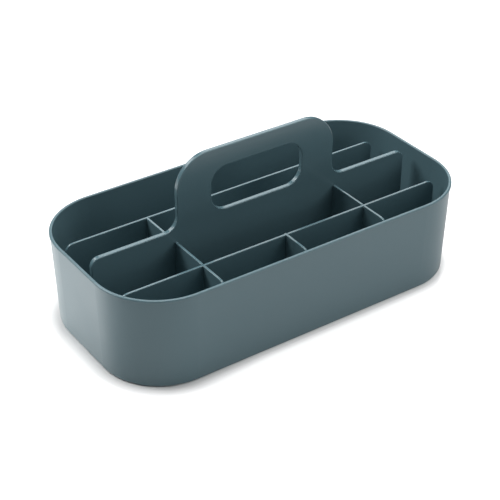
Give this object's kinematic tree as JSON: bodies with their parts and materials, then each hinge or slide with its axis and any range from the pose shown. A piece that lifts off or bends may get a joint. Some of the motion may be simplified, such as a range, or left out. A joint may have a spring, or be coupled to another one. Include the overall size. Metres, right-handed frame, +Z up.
{
  "type": "tool storage caddy",
  "caption": "Rounded oblong storage caddy with a plastic tub, a lift-out crate of interlocking dividers and a flat carrying handle with a hand slot.",
  "frame": {"origin": "middle of the base, on the surface that the caddy stands on", "axes": "+X along the caddy's length, to the right as seen from the short-divider side; +Y to the rear; +Z up"},
  "size_m": [0.34, 0.174, 0.146],
  "materials": {
    "tub_plastic": "satin moulded plastic, slate blue-green",
    "crate_plastic": "satin moulded plastic, slate blue-green"
  },
  "bodies": {
    "tub": {"tub": "tub_plastic"},
    "insert": {"handle_board": "crate_plastic", "left_cross_divider": "crate_plastic", "right_cross_divider": "crate_plastic"},
    "front_divider": {"front_long_divider": "crate_plastic"},
    "rear_divider": {"rear_long_divider": "crate_plastic"},
    "short_divider": {"short_cross_divider": "crate_plastic"}
  },
  "joints": [
    {"name": "insert_lift", "type": "slide", "parent": "tub", "child": "insert", "axis": [0, 0, 1], "range_m": [0, 0.1]},
    {"name": "front_divider_lift", "type": "slide", "parent": "insert", "child": "front_divider", "axis": [0, 0, 1], "range_m": [0, 0.08]},
    {"name": "rear_divider_lift", "type": "slide", "parent": "insert", "child": "rear_divider", "axis": [0, 0, 1], "range_m": [0, 0.08]},
    {"name": "short_divider_lift", "type": "slide", "parent": "front_divider", "child": "short_divider", "axis": [0, 0, 1], "range_m": [0, 0.08]}
  ]
}
